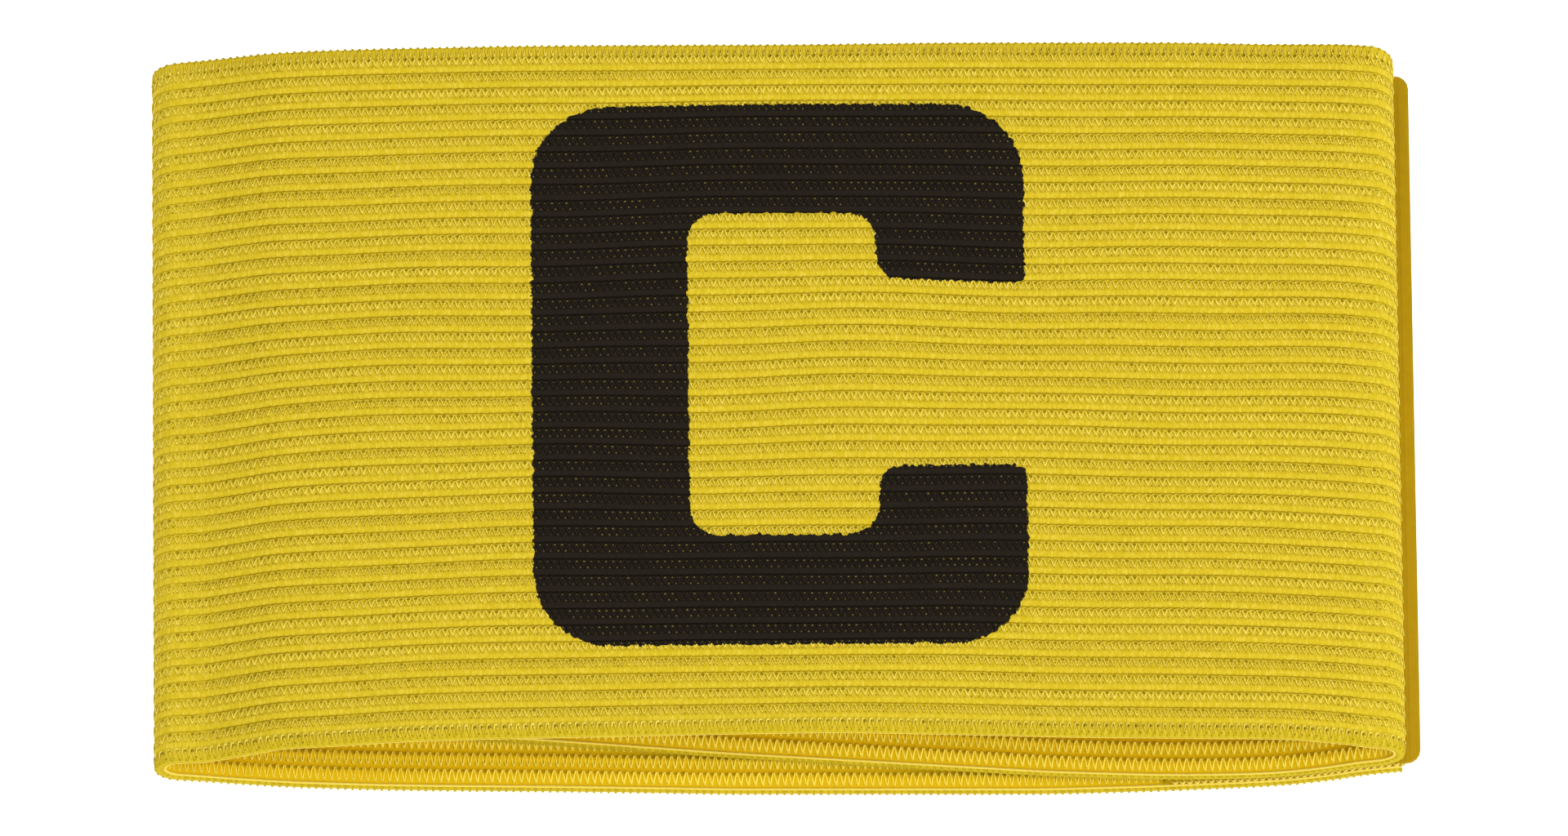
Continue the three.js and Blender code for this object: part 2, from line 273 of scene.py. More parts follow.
def worn(along, across, height):
    """Flat places moved as on a strap that has been worn: its ribs wander a little between its
    edges and are stretched flatter round the folds, and its front has slight ripples."""
    loose = np.clip(1 - (across / HALF_WIDTH) ** 2, 0, 1)
    slow = np.sin(along / SLOW_WAVE[0] + SLOW_BEND * np.sin(across / SLOW_WAVE[1]))
    quick = np.sin(along / QUICK_WAVE[0] - across / QUICK_WAVE[1])
    ripple = np.sin(along / RIPPLE_WAVE[0] + RIPPLE_BEND * np.sin(across / RIPPLE_WAVE[1]))
    front = np.clip((FOLD_START - np.abs(along)) / RIPPLE_FADE, 0, 1)
    from_fold = np.abs(np.abs(along) - (FOLD_START + FOLD_END) / 2)
    stretched = np.clip((FOLD_REACH - from_fold) / FOLD_FADE, 0, 1) * (height > -WALL / 2)
    height = height * (1 - FOLD_FLATTENING * stretched)
    across = across + RIB_WANDER * loose * (slow + QUICK_WANDER * quick)
    height = height + FRONT_RIPPLE * front * loose * (ripple + QUICK_RIPPLE * quick)
    return along, across, height


class StrapPath:
    """The strap's outer face as a grid of stations along it and lines across it."""

    STEP = 0.3 * MM
    LINES = 31

    def __init__(self):
        self.across = np.linspace(-HALF_WIDTH, HALF_WIDTH, self.LINES)
        share = self.across[None, :] / HALF_WIDTH
        stretches = [outer_face(name, at[:, None], share) for name, at in path_places(self.STEP)]
        x, z, slide = np.concatenate(stretches).transpose(2, 0, 1)
        self.points = np.stack([x, self.across[None, :] + slide, z], axis=-1)
        travel = np.gradient(x, axis=0), np.gradient(z, axis=0)
        length = np.hypot(*travel)
        self.outward = np.stack([travel[1], 0 * x, -travel[0]], axis=-1) / length[..., None]
        middle = (self.points - self.outward * WALL / 2)[:, self.LINES // 2]
        steps = np.linalg.norm(np.diff(middle, axis=0), axis=1)
        run = np.append(0, np.cumsum(steps))
        before_front = sum(len(stretch) for stretch in stretches[:2])
        centre = before_front + len(stretches[2]) // 2
        self.along = run[centre] - run
        last_lap = len(stretches[4])
        self.strap_end = np.interp(OUTER_END, x[-last_lap:, 0], self.along[-last_lap:])

    def wrap(self, flat):
        """Places on the path of flat places, which are rows of along, across and height."""
        along, across, height = worn(*np.asarray(flat, dtype=float).T)
        station = np.interp(-along, -self.along, np.arange(len(self.along)))
        held = np.clip(across, -HALF_WIDTH, HALF_WIDTH)
        line = (held + HALF_WIDTH) / BAND_WIDTH * (self.LINES - 1)
        i = np.minimum(station.astype(int), len(self.along) - 2)
        j = np.minimum(line.astype(int), self.LINES - 2)
        u, v = (station - i)[:, None], (line - j)[:, None]

        def between(grid):
            low = grid[i, j] * (1 - v) + grid[i, j + 1] * v
            high = grid[i + 1, j] * (1 - v) + grid[i + 1, j + 1] * v
            return low * (1 - u) + high * u

        places = between(self.points) + between(self.outward) * height[:, None]
        places[:, 1] += across - held
        return places


path = StrapPath()
STRAP_FROM, STRAP_TO = path.strap_end, path.along[0]


# Making nodes and meshes


def put(tree, kind, inputs=None, **settings):
    """Adds a node with its settings, and fills its inputs with values or links."""
    node = tree.nodes.new(kind)
    for setting, value in settings.items():
        setattr(node, setting, value)
    for socket, value in (inputs or {}).items():
        if isinstance(value, bpy.types.NodeSocket):
            tree.links.new(value, node.inputs[socket])
        elif isinstance(value, bpy.types.Node):
            tree.links.new(value.outputs[0], node.inputs[socket])
        else:
            node.inputs[socket].default_value = value
    return node


def maths(tree, operation, *values):
    """The output of a Math node."""
    return put(tree, "ShaderNodeMath", dict(enumerate(values)), operation=operation).outputs[0]


def vector(tree, x=0.0, y=0.0, z=0.0):
    """The output of a Combine XYZ node."""
    return put(tree, "ShaderNodeCombineXYZ", {"X": x, "Y": y, "Z": z}).outputs[0]


def new_tree(name, kind, inputs, outputs):
    """A node group, and its own input and output sockets by name."""
    tree = bpy.data.node_groups.new(name, kind)
    for socket, socket_type in inputs.items():
        tree.interface.new_socket(socket, in_out="INPUT", socket_type="NodeSocket" + socket_type)
    for socket, socket_type in outputs.items():
        tree.interface.new_socket(socket, in_out="OUTPUT", socket_type="NodeSocket" + socket_type)
    return tree, put(tree, "NodeGroupInput").outputs, put(tree, "NodeGroupOutput").inputs


def mesh_piece(name, points, faces, material=None):
    mesh = bpy.data.meshes.new(name)
    mesh.from_pydata([tuple(point) for point in points], [], faces)
    piece = bpy.data.objects.new(name, mesh)
    bpy.context.scene.collection.objects.link(piece)
    if material:
        mesh.materials.append(material)
        mesh.shade_smooth()
    return piece


def wrap_piece(piece):
    """Keeps a flat piece's places as the attribute "strap" and wraps it on the strap's path."""
    mesh = piece.data
    flat = np.empty(len(mesh.vertices) * 3, dtype=np.float32)
    mesh.vertices.foreach_get("co", flat)
    mesh.attributes.new("strap", "FLOAT_VECTOR", "POINT").data.foreach_set("vector", flat)
    wrapped = path.wrap(flat.reshape(-1, 3)).astype(np.float32)
    mesh.vertices.foreach_set("co", wrapped.ravel())
    mesh.update()
    return piece


def grow(name, tree, sizes):
    """A piece grown by a Geometry Nodes tree, made a plain mesh and wrapped on the path."""
    seed = mesh_piece(name + "_seed", [], [])
    modifier = seed.modifiers.new("grow", "NODES")
    modifier.node_group = tree
    for socket in tree.interface.items_tree:
        if socket.in_out == "INPUT" and socket.name in sizes:
            modifier[socket.identifier] = sizes[socket.name]
    bpy.context.view_layer.update()
    evaluated = seed.evaluated_get(bpy.context.evaluated_depsgraph_get())
    mesh = bpy.data.meshes.new_from_object(evaluated)
    mesh.name = name
    seed.modifiers.remove(modifier)
    bpy.data.objects.remove(seed)
    piece = bpy.data.objects.new(name, mesh)
    bpy.context.scene.collection.objects.link(piece)
    return wrap_piece(piece)


# The letter's outline, and what it cuts


def letter_outline(steps=6):
    """The block letter C from its named sizes, with its corners rounded, as points in order."""
    right, top = LETTER_WIDTH / 2, LETTER_HEIGHT / 2
    stem, bar = STEM_WIDTH - right, top - BAR_HEIGHT
    terminal, reach = right - TERMINAL_WIDTH, top - TERMINAL_REACH
    corners = (
        (right, top, OUTER_CORNER),
        (-right, top, OUTER_CORNER),
        (-right, -top, OUTER_CORNER),
        (right, -top, OUTER_CORNER),
        (right, -reach, TIP_CORNER),
        (terminal, -reach, TERMINAL_CORNER),
        (terminal, -bar, COUNTER_CORNER),
        (stem, -bar, COUNTER_CORNER),
        (stem, bar, COUNTER_CORNER),
        (terminal, bar, COUNTER_CORNER),
        (terminal, reach, TERMINAL_CORNER),
        (right, reach, TIP_CORNER),
    )
    points = []
    for index, (x, y, radius) in enumerate(corners):
        corner = Vector((x, y))
        before = (Vector(corners[index - 1][:2]) - corner).normalized() * radius
        after = (Vector(corners[(index + 1) % len(corners)][:2]) - corner).normalized() * radius
        for step in range(steps + 1):
            turn = math.pi / 2 * step / steps
            place = before * (1 - math.sin(turn)) + after * (1 - math.cos(turn))
            points.append(corner + place + Vector((0, LETTER_RAISED)))
    return np.array(points)


LETTER_OUTLINE = letter_outline()


def depth_in_letter(flat):
    """How far flat places lie inside the letter's outline, and below 0 outside it."""
    start = LETTER_OUTLINE
    side = np.roll(start, -1, axis=0) - start
    depth = np.empty(len(flat))
    batch = 20000
    for first in range(0, len(flat), batch):
        away = flat[first : first + batch, None, :2] - start
        share = np.clip((away * side).sum(-1) / (side * side).sum(-1), 0, 1)
        reach = np.linalg.norm(away - share[..., None] * side, axis=-1).min(axis=1)
        rising = (away[..., 1] >= 0) != (away[..., 1] >= side[:, 1])
        crossing = away[..., 0] < side[:, 0] * away[..., 1] / np.where(side[:, 1], side[:, 1], 1)
        inside = (rising & crossing).sum(axis=1) % 2 == 1
        depth[first : first + batch] = np.where(inside, reach, -reach)
    return depth


def mark_letter(piece):
    """Keeps how far each point lies inside the letter as the attribute "letter_depth"."""
    mesh = piece.data
    flat = np.empty(len(mesh.vertices) * 3, dtype=np.float32)
    mesh.attributes["strap"].data.foreach_get("vector", flat)
    flat = flat.reshape(-1, 3)
    near = (np.abs(flat[:, 0]) < LETTER_WIDTH) & (np.abs(flat[:, 1]) < LETTER_HEIGHT)
    depth = np.full(len(flat), -LETTER_WIDTH)
    depth[near] = depth_in_letter(flat[near])
    depths = mesh.attributes.new("letter_depth", "FLOAT", "POINT").data
    depths.foreach_set("value", depth.astype(np.float32))
    return piece


def letter_stencil():
    """The letter as one flat face, which the knit's rows are cut by."""
    points = [(x, y, 0) for x, y in LETTER_OUTLINE]
    return mesh_piece("letter_stencil", points, [tuple(range(len(points)))])


# Trees that knit rows of yarn on the flat strap

ROW_NOISE = (1800.0, 1.0)  # features per metre, and detail
STENCIL_REACH = 10 * MM  # above and below the stencil, within which it cuts rows

ROW_SIZES = {
    "From": "Float",
    "Stitches": "Int",
    "Stitch Pitch": "Float",
    "Rows": "Int",
    "First Row": "Float",
    "Row Pitch": "Float",
    "Level": "Float",
    "Unevenness": "Float",
    "Seed": "Int",
    "Stencil": "Object",
    "Inside Stencil": "Bool",
    "Material": "Material",
}


def knitted_rows(tree, sizes, points_per_stitch, along, across, height):
    """Rows of one line each, uneven as yarn is, and cut by the stencil."""
    pitch = maths(tree, "DIVIDE", sizes["Stitch Pitch"], float(points_per_stitch))
    line = put(
        tree,
        "GeometryNodeMeshLine",
        {
            "Count": maths(tree, "MULTIPLY", sizes["Stitches"], float(points_per_stitch)),
            "Start Location": vector(tree, x=sizes["From"]),
            "Offset": vector(tree, x=pitch),
        },
    )
    stitched = put(
        tree,
        "GeometryNodeSetPosition",
        {"Geometry": line, "Offset": vector(tree, along, across, height)},
    )
    starts = put(
        tree,
        "GeometryNodeMeshLine",
        {
            "Count": sizes["Rows"],
            "Start Location": vector(tree, y=sizes["First Row"], z=sizes["Level"]),
            "Offset": vector(tree, y=sizes["Row Pitch"]),
        },
    )
    repeated = put(
        tree, "GeometryNodeInstanceOnPoints", {"Points": starts, "Instance": stitched}
    )
    joined = put(tree, "GeometryNodeRealizeInstances", {"Geometry": repeated})
    uneven = put(
        tree,
        "ShaderNodeTexNoise",
        {"Scale": ROW_NOISE[0], "Detail": ROW_NOISE[1], "W": sizes["Seed"]},
        noise_dimensions="4D",
    )
    centred = put(
        tree,
        "ShaderNodeVectorMath",
        {0: uneven.outputs["Color"], 1: (0.5, 0.5, 0.5)},
        operation="SUBTRACT",
    )
    moved = put(
        tree,
        "ShaderNodeVectorMath",
        {0: centred, "Scale": sizes["Unevenness"]},
        operation="SCALE",
    )
    rows = put(tree, "GeometryNodeSetPosition", {"Geometry": joined, "Offset": moved})
    stencil = put(tree, "GeometryNodeObjectInfo", {"Object": sizes["Stencil"]})
    above = put(
        tree,
        "ShaderNodeVectorMath",
        {0: put(tree, "GeometryNodeInputPosition"), 1: (0, 0, STENCIL_REACH)},
        operation="ADD",
    )
    hit = put(
        tree,
        "GeometryNodeRaycast",
        {
            "Target Geometry": stencil.outputs["Geometry"],
            "Source Position": above,
            "Ray Direction": (0, 0, -1),
            "Ray Length": 2 * STENCIL_REACH,
        },
    )
    other_side = put(
        tree,
        "FunctionNodeBooleanMath",
        {0: hit.outputs["Is Hit"], 1: sizes["Inside Stencil"]},
        operation="XOR",
    )
    cut = put(
        tree,
        "GeometryNodeDeleteGeometry",
        {"Geometry": rows, "Selection": other_side},
        domain="EDGE",
        mode="EDGE_FACE",
    )
    return put(tree, "GeometryNodeMeshToCurve", {"Mesh": cut})


def finish_rows(tree, curves, profile, scale, sizes, result):
    """Tubes along the rows, closed at their ends, smooth, realized and with their material."""
    tubes = put(
        tree,
        "GeometryNodeCurveToMesh",
        {"Curve": curves, "Profile Curve": profile, "Scale": scale, "Fill Caps": True},
    )
    smooth = put(tree, "GeometryNodeSetShadeSmooth", {"Geometry": tubes})
    real = put(tree, "GeometryNodeRealizeInstances", {"Geometry": smooth})
    coloured = put(
        tree, "GeometryNodeSetMaterial", {"Geometry": real, "Material": sizes["Material"]}
    )
    tree.links.new(coloured.outputs[0], result["Geometry"])
    return tree


def zigzag_rows_tree():
    """Rows of one yarn that swings between two needles, with a loop at each turn: wide on the
    far side and narrow on the near side, so that the stitches look like the letter V."""
    own_sizes = {"Swing": "Float", "Tilt": "Float", "Yarn Radius": "Float", "Yarn Sides": "Int"}
    tree, sizes, result = new_tree(
        "zigzag rows", "GeometryNodeTree", ROW_SIZES | own_sizes, {"Geometry": "Geometry"}
    )
    step = maths(tree, "MODULO", put(tree, "GeometryNodeInputIndex"), 4.0)
    far = maths(tree, "GREATER_THAN", step, 1.5)
    side = maths(tree, "SUBTRACT", far, 0.5)
    narrowing = maths(tree, "SUBTRACT", 1.0, far)
    narrowed = maths(tree, "MULTIPLY", narrowing, maths(tree, "SUBTRACT", 0.5, step))
    along = maths(
        tree, "MULTIPLY", narrowed, maths(tree, "MULTIPLY", sizes["Stitch Pitch"], NARROWING)
    )
    across = maths(tree, "MULTIPLY", side, sizes["Swing"])
    height = maths(tree, "MULTIPLY", side, sizes["Tilt"])
    curves = knitted_rows(tree, sizes, 4, along, across, height)
    profile = put(
        tree,
        "GeometryNodeCurvePrimitiveCircle",
        {"Resolution": sizes["Yarn Sides"], "Radius": sizes["Yarn Radius"]},
    )
    return finish_rows(tree, curves, profile, 1.0, sizes, result)


def beaded_rows_tree():
    """Rows of one thick line, pinched once a stitch, with the profile of an object."""
    own_sizes = {"Pinch": "Float", "Profile": "Object"}
    tree, sizes, result = new_tree(
        "beaded rows", "GeometryNodeTree", ROW_SIZES | own_sizes, {"Geometry": "Geometry"}
    )
    step = maths(tree, "MODULO", put(tree, "GeometryNodeInputIndex"), 2.0)
    pinched = maths(tree, "SUBTRACT", 1.0, maths(tree, "MULTIPLY", step, sizes["Pinch"]))
    curves = knitted_rows(tree, sizes, 2, 0.0, 0.0, 0.0)
    profile = put(tree, "GeometryNodeObjectInfo", {"Object": sizes["Profile"]})
    outline = profile.outputs["Geometry"]
    return finish_rows(tree, curves, outline, pinched, sizes, result)


# The strap's own body

# A rib's ground under the front's yarns, a rib of the laps and a rib of the inner face: places as
# shares of a rib from the groove on its far side, and depths in millimetres
DRESSED_RIB = ((0, 0.25), (0.1, 0.24), (0.19, 0.14), (0.5, 0.13), (0.6, 0.2))
LAP_RIB = ((0, 0.3), (0.12, 0.18), (0.46, 0.09), (0.82, 0), (0.95, 0.16))
INNER_RIB = ((0, 0.08), (0.1, 0.18), (0.55, 0.18), (0.66, 0.06), (0.85, 0))
# The selvedge from its inner face round to its outer face: inset from the edge, and depth
SELVEDGE_SECTION = ((0.3, 1.05), (0.08, 0.9), (0.04, 0.58), (0.08, 0.3), (0.3, 0.17), (1, 0.17))
DRESSED_LAP = 15 * MM  # of the outer lap past the left fold, dressed as the front is
FRONT_STEP = 1.3 * MM
FOLD_STEP = 0.4 * MM
DRESSED_LAP_STEP = 1 * MM
LAP_STEP = 2.3 * MM
YARN_FROM = -(FOLD_END + DRESSED_LAP)
YARN_TO = FOLD_END


def across_ribs(rib_section):
    """A rib's section repeated over the strap, from its far side to its near side."""
    return [
        (-FIRST_GROOVE - (rib + share) * RIB_PITCH, -depth * MM)
        for rib in range(RIB_COUNT)
        for share, depth in rib_section
    ]


def strap_section(dressed):
    """A closed section across the strap, with an outer face for pads and yarns or without."""
    far_edge = [(HALF_WIDTH - inset * MM, -depth * MM) for inset, depth in SELVEDGE_SECTION]
    near_edge = [(-across, height) for across, height in far_edge[::-1]]
    outer = across_ribs(DRESSED_RIB if dressed else LAP_RIB)
    inner = [(across, -height - WALL) for across, height in across_ribs(INNER_RIB)[::-1]]
    return far_edge + outer + near_edge + inner


def strap_stations():
    """Places along the strap, and whether it is dressed as the front is there."""
    change = DRESSED_LAP_STEP
    stretches = (
        (STRAP_FROM, YARN_FROM, LAP_STEP, False),
        (YARN_FROM + change, -FOLD_END, DRESSED_LAP_STEP, True),
        (-FOLD_END, -FOLD_START, FOLD_STEP, True),
        (-FOLD_START, FOLD_START, FRONT_STEP, True),
        (FOLD_START, FOLD_END, FOLD_STEP, True),
        (FOLD_END + change, STRAP_TO, LAP_STEP, False),
    )
    stations = [
        (along, dressed)
        for start, end, step, dressed in stretches
        for along in spaced(start, end, step)
    ]
    return stations + [(STRAP_TO, False)]


def loft(name, stations, section, material):
    """A closed body with its own section at each of its stations."""
    rings = [section(value) for _, value in stations]
    count = len(rings[0])
    points = [
        (along, *corner) for (along, _), ring in zip(stations, rings) for corner in ring
    ]
    faces = []
    for start in range(0, len(points) - count, count):
        for corner in range(count):
            a, b = start + corner, start + (corner + 1) % count
            faces.append((a, b, b + count, a + count))
    faces.append(tuple(reversed(range(count))))
    faces.append(tuple(range(len(points) - count, len(points))))
    return mesh_piece(name, points, faces, material)


def elastic_strap(material):
    return wrap_piece(loft("elastic_strap", strap_stations(), strap_section, material))


# The yarns on the strap

YARN_RADIUS = 0.125 * MM
YARN_SIDES = 3
YARN_UNEVENNESS = 0.05 * MM
NARROWING = 0.16  # of a stitch, at each near-side turn of a zigzag
FRONT_STITCHES = int((YARN_TO - YARN_FROM) / STITCH_PITCH)
UNDER_STITCHES = int((YARN_FROM - STRAP_FROM) / STITCH_PITCH)
ALL_STITCHES = int((STRAP_TO - STRAP_FROM) / STITCH_PITCH)
INNER_ROWS = 6  # of the inner face, seen from each mouth
# Lines of the yarns, as shares of a rib from its far groove
ZIGZAG_LINE = 0.295
PAD_LINE = 0.72
FAR_INNER_LINE = 0.07
NEAR_INNER_LINE = 0.93
# Heights of the yarns' middles from the ribs' crests
ZIGZAG_LEVEL = -0.06 * MM
UNDER_LEVEL = -0.1 * MM
PAD_LEVEL = -0.25 * MM
WRAP_LEVEL = -0.13 * MM
INNER_LEVEL = 0.04 * MM - WALL
CORD_LEVEL = 0.06 * MM - WALL
SEAM_LEVEL = -WALL - CLEARANCE - TAPE_THICKNESS / 2
# How far each zigzag swings across, and how far one side of it lies above the other
ZIGZAG_SWING = 0.64 * MM
ZIGZAG_TILT = -0.08 * MM
INNER_SWING = 1.25 * MM
WRAP_SWING = 1.15 * MM
WRAP_TILT = 0.24 * MM
SEAM_SWING = 0.4 * MM
SEAM_TILT = 0.3 * MM
# Insets from the strap's edges
WRAP_INSET = 0.08 * MM
CORD_INSET = 0.25 * MM
SEAM_INSET = 0.35 * MM
SEAM_RADIUS = 0.14 * MM
SEAM_SIDES = 4
SEAM_START = 0.3 * MM  # past the strap's cut end
PAD_PINCH = 0.2
CORD_PINCH = 0.22
# Offsets across and up from a rib's ground, in millimetres
PAD_SECTION = ((0.5, 0), (0.34, 0.12), (0, 0.17), (-0.36, 0.15), (-0.5, 0))
CORD_SECTION = ((0.15, 0), (0.08, 0.14), (-0.08, 0.14), (-0.15, 0), (-0.08, -0.14), (0.08, -0.14))


def rib_line(rib, share):
    """The place across of a rib's line, as a share of it from its far groove."""
    return -FIRST_GROOVE - (rib + share) * RIB_PITCH


def row_sizes(start, stitches, rows, first, pitch, level, material, seed=1):
    return {
        "From": start,
        "Stitches": stitches,
        "Stitch Pitch": STITCH_PITCH,
        "Rows": rows,
        "First Row": first,
        "Row Pitch": pitch,
        "Level": level,
        "Unevenness": YARN_UNEVENNESS,
        "Seed": seed,
        "Material": material,
    }


def rows_on_ribs(start, stitches, line, level, material, seed=1):
    """Sizes of rows on every rib, from the nearest one."""
    last = rib_line(RIB_COUNT - 1, line)
    return row_sizes(start, stitches, RIB_COUNT, last, RIB_PITCH, level, material, seed)


def rows_on_edges(start, stitches, inset, level, material, seed):
    """Sizes of one row along each edge of the strap."""
    near = inset - HALF_WIDTH
    return row_sizes(start, stitches, 2, near, -2 * near, level, material, seed)


def zigzag(swing, tilt, radius=YARN_RADIUS, sides=YARN_SIDES):
    return {"Swing": swing, "Tilt": tilt, "Yarn Radius": radius, "Yarn Sides": sides}


def profile_object(name, section):
    """A closed line for a row's section."""
    curve = bpy.data.curves.new(name, "CURVE")
    spline = curve.splines.new("POLY")
    spline.points.add(len(section) - 1)
    for point, (across, up) in zip(spline.points, section):
        point.co = (-across * MM, -up * MM, 0, 1)
    spline.use_cyclic_u = True
    profile = bpy.data.objects.new(name, curve)
    bpy.context.scene.collection.objects.link(profile)
    return profile


def front_zigzags(name, tree, stencil, inside, material):
    sizes = rows_on_ribs(YARN_FROM, FRONT_STITCHES, ZIGZAG_LINE, ZIGZAG_LEVEL, material)
    own = {"Stencil": stencil, "Inside Stencil": inside} | zigzag(ZIGZAG_SWING, ZIGZAG_TILT)
    return mark_letter(grow(name, tree, sizes | own))


def front_pads(name, tree, profile, stencil, inside, material):
    sizes = rows_on_ribs(YARN_FROM, FRONT_STITCHES, PAD_LINE, PAD_LEVEL, material, seed=2)
    own = {"Stencil": stencil, "Inside Stencil": inside, "Pinch": PAD_PINCH, "Profile": profile}
    return mark_letter(grow(name, tree, sizes | own))


def under_zigzags(name, tree, material):
    """Zigzags on the underside, from the strap's cut end to where the front's yarns start."""
    sizes = rows_on_ribs(STRAP_FROM, UNDER_STITCHES, ZIGZAG_LINE, UNDER_LEVEL, material, seed=7)
    return mark_letter(grow(name, tree, sizes | zigzag(ZIGZAG_SWING, ZIGZAG_TILT)))


def inner_zigzags(name, tree, last, material):
    """Zigzags of the inner face on the ribs nearest one mouth."""
    sizes = row_sizes(
        STRAP_FROM, ALL_STITCHES, INNER_ROWS, last, RIB_PITCH, INNER_LEVEL, material, seed=3
    )
    return grow(name, tree, sizes | zigzag(INNER_SWING, 0.0))


def selvedge_cords(name, tree, profile, material):
    """A chained cord along each edge of the inner face."""
    sizes = rows_on_edges(STRAP_FROM, ALL_STITCHES, CORD_INSET, CORD_LEVEL, material, seed=4)
    return grow(name, tree, sizes | {"Pinch": CORD_PINCH, "Profile": profile})


def edge_wraps(name, tree, side, material):
    """The yarn that binds one edge of the outer face, over its corner."""
    middle = side * (HALF_WIDTH - WRAP_SWING / 2 - WRAP_INSET)
    sizes = row_sizes(STRAP_FROM, ALL_STITCHES, 1, middle, 0.0, WRAP_LEVEL, material, seed=5)
    return mark_letter(grow(name, tree, sizes | zigzag(WRAP_SWING, -side * WRAP_TILT)))


def tape_seams(name, tree, material):
    """The thread that overcasts both edges of the hook tape, between the laps."""
    stitches = int((TAPE_LENGTH - TAPE_OVERHANG) / STITCH_PITCH)
    start = STRAP_FROM - SEAM_START
    sizes = rows_on_edges(start, stitches, SEAM_INSET, SEAM_LEVEL, material, seed=6)
    own = zigzag(SEAM_SWING, SEAM_TILT, SEAM_RADIUS, SEAM_SIDES)
    return grow(name, tree, sizes | own)


# The hook tape

TAPE_EDGE = 0.12 * MM
TAPE_STATIONS = 30
TAPE_CORNER_STATIONS = 5


def tape_section(half_width):
    """A thin flat section with softened edges."""
    top = -(WALL + CLEARANCE)
    bottom = top - TAPE_THICKNESS
    far = [
        (half_width - TAPE_EDGE, bottom),
        (half_width, bottom + TAPE_EDGE),
        (half_width, top - TAPE_EDGE),
        (half_width - TAPE_EDGE, top),
    ]
    return far + [(-across, height) for across, height in far[::-1]]


def hook_tape(material):
    end = STRAP_FROM - TAPE_OVERHANG
    half = TAPE_WIDTH / 2
    corner = [
        (end + TAPE_CORNER * (1 - math.cos(turn)), half - TAPE_CORNER * (1 - math.sin(turn)))
        for turn in np.linspace(0, math.pi / 2, TAPE_CORNER_STATIONS)
    ]
    places = np.linspace(end + TAPE_CORNER, end + TAPE_LENGTH, TAPE_STATIONS)
    rest = [(along, half) for along in places[1:]]
    return wrap_piece(loft("hook_tape_strip", corner + rest, tape_section, material))


# Materials

# Yarn colours, with painted shade and painted highlights among them: on the front, inside
# the loop, on the edges and under the ink
YARN_YELLOW = (0.66, 0.485, 0.022, 1)
# Painted highlight on the yarn's crests; it also gives the yarn's pale flecks
YARN_PALE_HIGHLIGHT = (0.95, 0.78, 0.14, 1)
# Painted shade: the dark olive the yarn goes to in the knit's pits; it also darkens the strand
# lines, dark flecks, patches and edges
YARN_OLIVE_SHADE = (0.5, 0.37, 0.008, 1)
# Painted shade in the knit's holes
YARN_HOLE_SHADE = (0.24, 0.165, 0.002, 1)
# The yarn's colour inside the loop, partly its own and partly painted: more orange as painted
# shade and bounced light
INNER_SHADED_YELLOW = (0.73, 0.49, 0.005, 1)
# Painted highlight: the inner zigzags' whole colour, a lit copy of the inner yarn
INNER_LIT_PALE = (0.96, 0.78, 0.085, 1)
# Painted shade in the holes of the inner face; also the inner face's colour behind the letter
INNER_AMBER = (0.69, 0.46, 0.005, 1)
CORD_YELLOW = (0.74, 0.58, 0.09, 1)
INK = (0.0135, 0.0098, 0.0058, 1)
# Painted highlight on the ink's crests; it also gives the ink's pale flecks
INK_GREY_HIGHLIGHT = (0.021, 0.016, 0.01, 1)
# Painted shade of the ink in the knit's pits
INKED_PIT_SHADE = (0.011, 0.008, 0.004, 1)
# Uninked yarn in the holes under the ink, dimmed by painted shade
UNINKED_HOLE_SHADE = (0.22, 0.16, 0.03, 1)
TAPE_OCHRE = (0.34, 0.2, 0.001, 1)
TAPE_PALE = (0.42, 0.26, 0.002, 1)
FLOOR_GREY = (0.93, 0.93, 0.93, 1)
FLOOR_PALE = (0.95, 0.95, 0.95, 1)
WHITE = (1, 1, 1, 1)
FLOOR_GLOW = 0.5

# Roles of the tones: Yarn is the yarn's own colour; Pit is painted shade in the pits, also mixed
# in for the strand lines, the dark flecks, the patches and the edges; Highlight is the painted
# highlight on the crests, also the pale flecks; Hole is painted shade in the knit's holes; Inside
# is the colour inside the loop
TONE_COLORS = ("Yarn", "Pit", "Highlight", "Hole", "Inside")
FRONT_TONES = (YARN_YELLOW, YARN_OLIVE_SHADE, YARN_PALE_HIGHLIGHT, YARN_HOLE_SHADE, INNER_SHADED_YELLOW)
INNER_TONES = (INNER_LIT_PALE, INNER_AMBER, INNER_LIT_PALE, INNER_AMBER, INNER_LIT_PALE)
CORD_TONES = (CORD_YELLOW, YARN_OLIVE_SHADE, CORD_YELLOW, CORD_YELLOW, CORD_YELLOW)
INKED_TONES = (INK, INKED_PIT_SHADE, INK_GREY_HIGHLIGHT, UNINKED_HOLE_SHADE, INNER_AMBER)

# Depths below the ribs' crests at which the painted shade in the pits is darkest, and the rise
# over which it clears
YARN_PITS = (0.24 * MM, 0.2 * MM)
GROUND_PITS = (0.32 * MM, 0.25 * MM)
INK_PITS = (0.26 * MM, 0.08 * MM)
NO_PITS = (2 * MM, 0.5 * MM)

# Noise over the strap: features per metre, and detail
PATCHES = (160.0, 2.0)
STITCH_NOISE = (1400.0, 1.0)
FIBRES = (9000.0, 2.0)
FLECKS = (5600.0, 1.0)
FRAYED_EDGE = (1600.0, 2.0)
FRAYING = 0.85 * MM
TAPE_MOTTLE = (900.0, 3.0)
FLOOR_GRAIN = (40.0, 2.0)
TAPE_WEAVE = (700.0, 0.6)  # threads per metre, and distortion
FLECK_SQUEEZE = 0.3  # of places across, which draws flecks out across the ribs

# Noise at which glints and flecks begin, and at which they are full
GLINTS = (0.35, 0.65)
PALE_FLECKS = (0.5, 0.68)
DARK_FLECKS = (0.5, 0.34)

